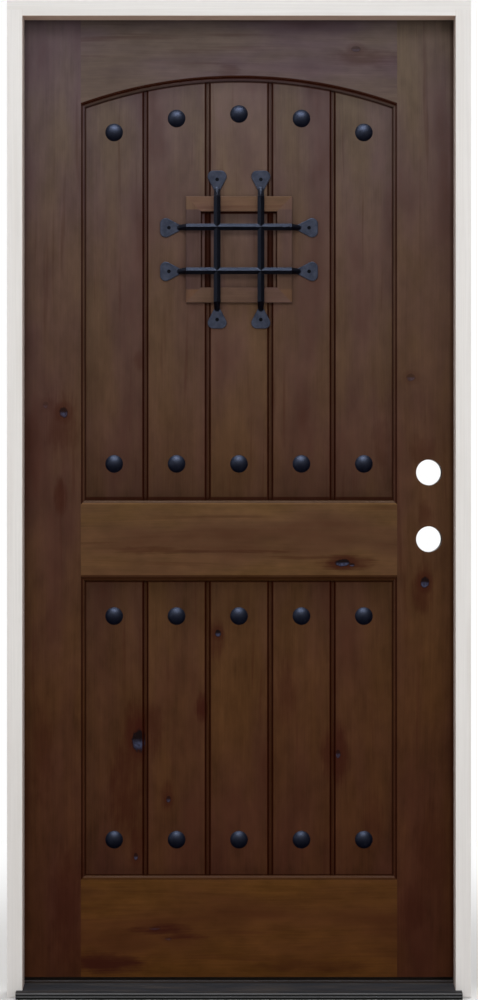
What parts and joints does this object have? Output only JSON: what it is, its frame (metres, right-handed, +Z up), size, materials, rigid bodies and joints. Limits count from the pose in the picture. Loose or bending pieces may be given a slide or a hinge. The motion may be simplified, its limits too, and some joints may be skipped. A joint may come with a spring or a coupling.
{
  "type": "prehung front door",
  "caption": "In-swing plank entry door with arched top rail, iron clavos and grilled speakeasy, hung in its primed frame with sill and seals.",
  "frame": {"origin": "on the floor under the sill, at the middle of the frame's width and of the jambs' depth", "axes": "+X to the right seen from outside, -Y outside, +Z up"},
  "size_m": [0.9588, 0.1562, 2.0606],
  "materials": {
    "primed_wood": "factory primer, matte",
    "seal_foam": "matte vinyl skin over foam",
    "sill_core": "matte composite",
    "bronze_sill": "dark bronze anodised",
    "riser_wood": "dark stained, satin",
    "zinc_screws": "zinc plated",
    "hinge_metal": "oil rubbed bronze",
    "stile_wood": "dark stain, satin",
    "rail_wood": "dark stain, satin",
    "plank_wood": "dark stain, satin",
    "trim_wood": "dark stain, satin",
    "dowel_wood": "bare",
    "black_iron": "black wrought iron"
  },
  "bodies": {
    "frame": {"hinge_jamb": "primed_wood", "latch_jamb": "primed_wood", "head_jamb": "primed_wood", "hinge_side_seal": "seal_foam", "latch_side_seal": "seal_foam", "head_seal": "seal_foam", "corner_pads": "seal_foam", "sill_base": "sill_core", "sill_deck": "bronze_sill", "sill_riser": "riser_wood", "riser_screws": "zinc_screws", "frame_screws": "zinc_screws", "top_hinge_frame_leaf": "hinge_metal", "middle_hinge_frame_leaf": "hinge_metal", "bottom_hinge_frame_leaf": "hinge_metal", "top_hinge_pin": "hinge_metal", "middle_hinge_pin": "hinge_metal", "bottom_hinge_pin": "hinge_metal", "hinge_frame_screws": "hinge_metal"},
    "door": {"hinge_stile": "stile_wood", "latch_stile": "stile_wood", "top_rail": "rail_wood", "lock_rail": "rail_wood", "bottom_rail": "rail_wood", "rail_dowels": "dowel_wood", "upper_plank_1": "plank_wood", "upper_plank_2": "plank_wood", "upper_plank_3_top": "plank_wood", "upper_plank_3_bottom": "plank_wood", "upper_plank_4": "plank_wood", "upper_plank_5": "plank_wood", "lower_plank_1": "plank_wood", "lower_plank_2": "plank_wood", "lower_plank_3": "plank_wood", "lower_plank_4": "plank_wood", "lower_plank_5": "plank_wood", "door_sweep": "seal_foam", "top_hinge_door_leaf": "hinge_metal", "middle_hinge_door_leaf": "hinge_metal", "bottom_hinge_door_leaf": "hinge_metal", "hinge_door_screws": "hinge_metal", "clavos": "black_iron", "trim_top": "trim_wood", "trim_bottom": "trim_wood", "trim_left": "trim_wood", "trim_right": "trim_wood", "grille_upright_left": "black_iron", "grille_upright_right": "black_iron", "grille_crossbar_top": "black_iron", "grille_crossbar_bottom": "black_iron", "grille_nails": "black_iron", "wicket_fixed_hinges": "black_iron", "wicket_hinge_pins": "black_iron", "bolt_keeper": "black_iron"},
    "wicket": {"wicket_panel": "plank_wood", "wicket_moving_hinges": "black_iron", "bolt_case": "black_iron"},
    "wicket_bolt": {"bolt_rod": "black_iron"}
  },
  "joints": [
    {"name": "door_swing", "type": "hinge", "parent": "frame", "child": "door", "pos_m": [-0.45879, 0.06435, 1], "axis": [0, 0, 1], "range_deg": [0, 178]},
    {"name": "wicket_swing", "type": "hinge", "parent": "door", "child": "wicket", "pos_m": [-0.08588, 0.04945, 1.55173], "axis": [0, 0, 1], "range_deg": [0, 120]},
    {"name": "bolt_slide", "type": "slide", "parent": "wicket", "child": "wicket_bolt", "axis": [1, 0, 0], "range_m": [0, 0.012]}
  ]
}
